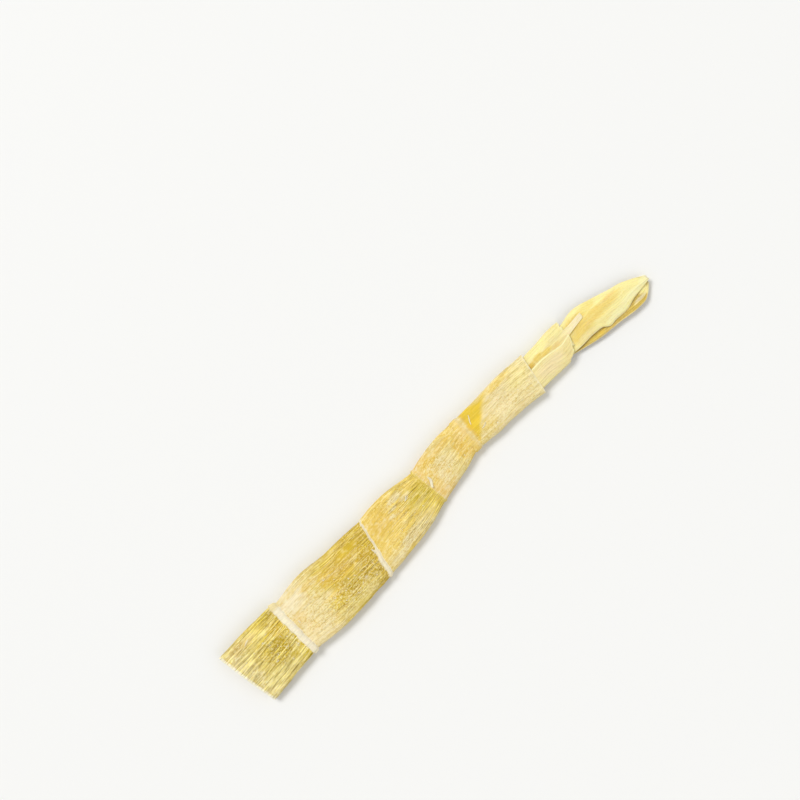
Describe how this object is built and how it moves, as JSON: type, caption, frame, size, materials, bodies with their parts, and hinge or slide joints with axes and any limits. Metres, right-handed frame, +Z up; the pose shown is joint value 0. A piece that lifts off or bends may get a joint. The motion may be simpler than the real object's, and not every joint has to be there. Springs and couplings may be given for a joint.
{
  "type": "dried bamboo shoot",
  "caption": "Dried bamboo shoot pressed flat: a ridged hollow stem with raised node rings, a wrapped sheath and pale leaves at the tip",
  "frame": {"origin": "on the resting surface, under the middle of the bounding box", "axes": "+X runs along the shoot from its cut end to its tip, +Y is across it to its left, +Z is up out of the resting surface"},
  "size_m": [0.3028, 0.0376, 0.0091],
  "materials": {
    "stem": "dry, matt and fibrous, golden to mustard with pale rings and salt specks",
    "sheath": "dry papery leaf, pale straw",
    "tip_leaf": "dry papery leaf, pale yellow with a peach tint at its root",
    "under_leaf": "dry papery leaf, darker olive yellow"
  },
  "bodies": {
    "root": {"culm": "stem", "outer_sheath": "sheath", "tip_leaf": "tip_leaf", "under_leaf": "under_leaf"}
  },
  "joints": []
}
